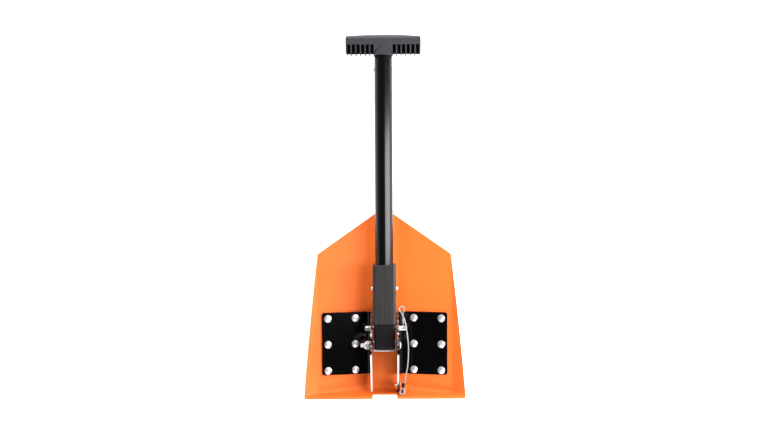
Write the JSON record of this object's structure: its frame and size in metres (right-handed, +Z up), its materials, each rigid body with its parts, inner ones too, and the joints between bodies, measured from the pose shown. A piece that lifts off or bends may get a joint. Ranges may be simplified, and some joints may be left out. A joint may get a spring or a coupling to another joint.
{
  "type": "folding camp shovel",
  "caption": "Compact folding shovel: pointed folded-steel blade with riveted hinge brackets, tube shaft, T-grip, lock pin on a lanyard.",
  "frame": {"origin": "centre of the bounding box's base: on the floor under the blade's flat centre strip, folded and lying on its back", "axes": "+X to the right looking into the tray with the grip up, +Y along the shaft towards the T-grip, +Z up out of the tray"},
  "size_m": [0.2834, 0.6308, 0.082],
  "materials": {
    "blade_orange": "orange powder coat, satin",
    "bracket_black": "black powder coat, semi-matt",
    "rivet_steel": "bright domed steel",
    "zinc_steel": "zinc-plated",
    "nylon_insert": "natural nylon",
    "nylon_washer": "red-brown nylon",
    "bush_bronze": "plain bronze",
    "block_nylon": "matt black",
    "receiver_anodised": "dark grey anodised, fine lengthwise lines",
    "tube_anodised": "black anodised",
    "insert_aluminium": "mill finish",
    "grip_plastic": "matt black moulding",
    "spring_steel": "bright spring steel",
    "cable_coated": "clear-coated steel cable",
    "sleeve_grey": "dull crimped sleeve",
    "sleeve_black": "black heat-shrink",
    "clip_black": "black"
  },
  "bodies": {
    "blade": {"anchor_clip": "clip_black", "anchor_eye": "cable_coated", "anchor_rivet": "zinc_steel", "anchor_sleeve": "sleeve_black", "blade": "blade_orange", "bracket_left": "bracket_black", "bracket_right": "bracket_black", "lanyard_cable": "cable_coated", "nut_insert": "nylon_insert", "pivot_bolt": "zinc_steel", "pivot_nut": "zinc_steel", "rivet_left_1": "rivet_steel", "rivet_left_2": "rivet_steel", "rivet_left_3": "rivet_steel", "rivet_left_4": "rivet_steel", "rivet_left_5": "rivet_steel", "rivet_left_6": "rivet_steel", "rivet_right_1": "rivet_steel", "rivet_right_2": "rivet_steel", "rivet_right_3": "rivet_steel", "rivet_right_4": "rivet_steel", "rivet_right_5": "rivet_steel", "rivet_right_6": "rivet_steel", "thrust_washer_left": "nylon_washer", "thrust_washer_right": "nylon_washer", "washer_left": "clip_black", "washer_right": "clip_black"},
    "handle": {"hinge_block": "block_nylon", "pivot_bush": "bush_bronze", "end_strap": "zinc_steel", "receiver": "receiver_anodised", "shaft_tube": "tube_anodised", "grip_insert": "insert_aluminium", "grip": "grip_plastic", "receiver_spring": "spring_steel", "grip_spring": "spring_steel"},
    "lock_pin": {"lock_pin": "zinc_steel", "tail_sleeve": "sleeve_grey"},
    "receiver_button_left": {"receiver_button_left": "zinc_steel"},
    "receiver_button_right": {"receiver_button_right": "zinc_steel"},
    "grip_button_left": {"grip_button_left": "zinc_steel"},
    "grip_button_right": {"grip_button_right": "zinc_steel"}
  },
  "joints": [
    {"name": "shaft_fold", "type": "hinge", "parent": "blade", "child": "handle", "pos_m": [0, -0.218, 0.044], "axis": [1, 0, 0], "range_deg": [0, 180]},
    {"name": "lock_pin_slide", "type": "slide", "parent": "blade", "child": "lock_pin", "axis": [1, 0, 0], "range_m": [0, 0.04], "deforming": ["lanyard_cable"]},
    {"name": "receiver_button_left_press", "type": "slide", "parent": "handle", "child": "receiver_button_left", "axis": [1, 0, 0], "range_m": [0, 0.0034], "stiffness_N_per_m": 1500, "springref_m": -0.002, "deforming": ["receiver_spring"]},
    {"name": "receiver_button_right_press", "type": "slide", "parent": "handle", "child": "receiver_button_right", "axis": [-1, 0, 0], "range_m": [0, 0.0034], "stiffness_N_per_m": 1500, "springref_m": -0.002, "deforming": ["receiver_spring"]},
    {"name": "grip_button_left_press", "type": "slide", "parent": "handle", "child": "grip_button_left", "axis": [1, 0, 0], "range_m": [0, 0.0034], "stiffness_N_per_m": 1500, "springref_m": -0.002, "deforming": ["grip_spring"]},
    {"name": "grip_button_right_press", "type": "slide", "parent": "handle", "child": "grip_button_right", "axis": [-1, 0, 0], "range_m": [0, 0.0034], "stiffness_N_per_m": 1500, "springref_m": -0.002, "deforming": ["grip_spring"]}
  ]
}
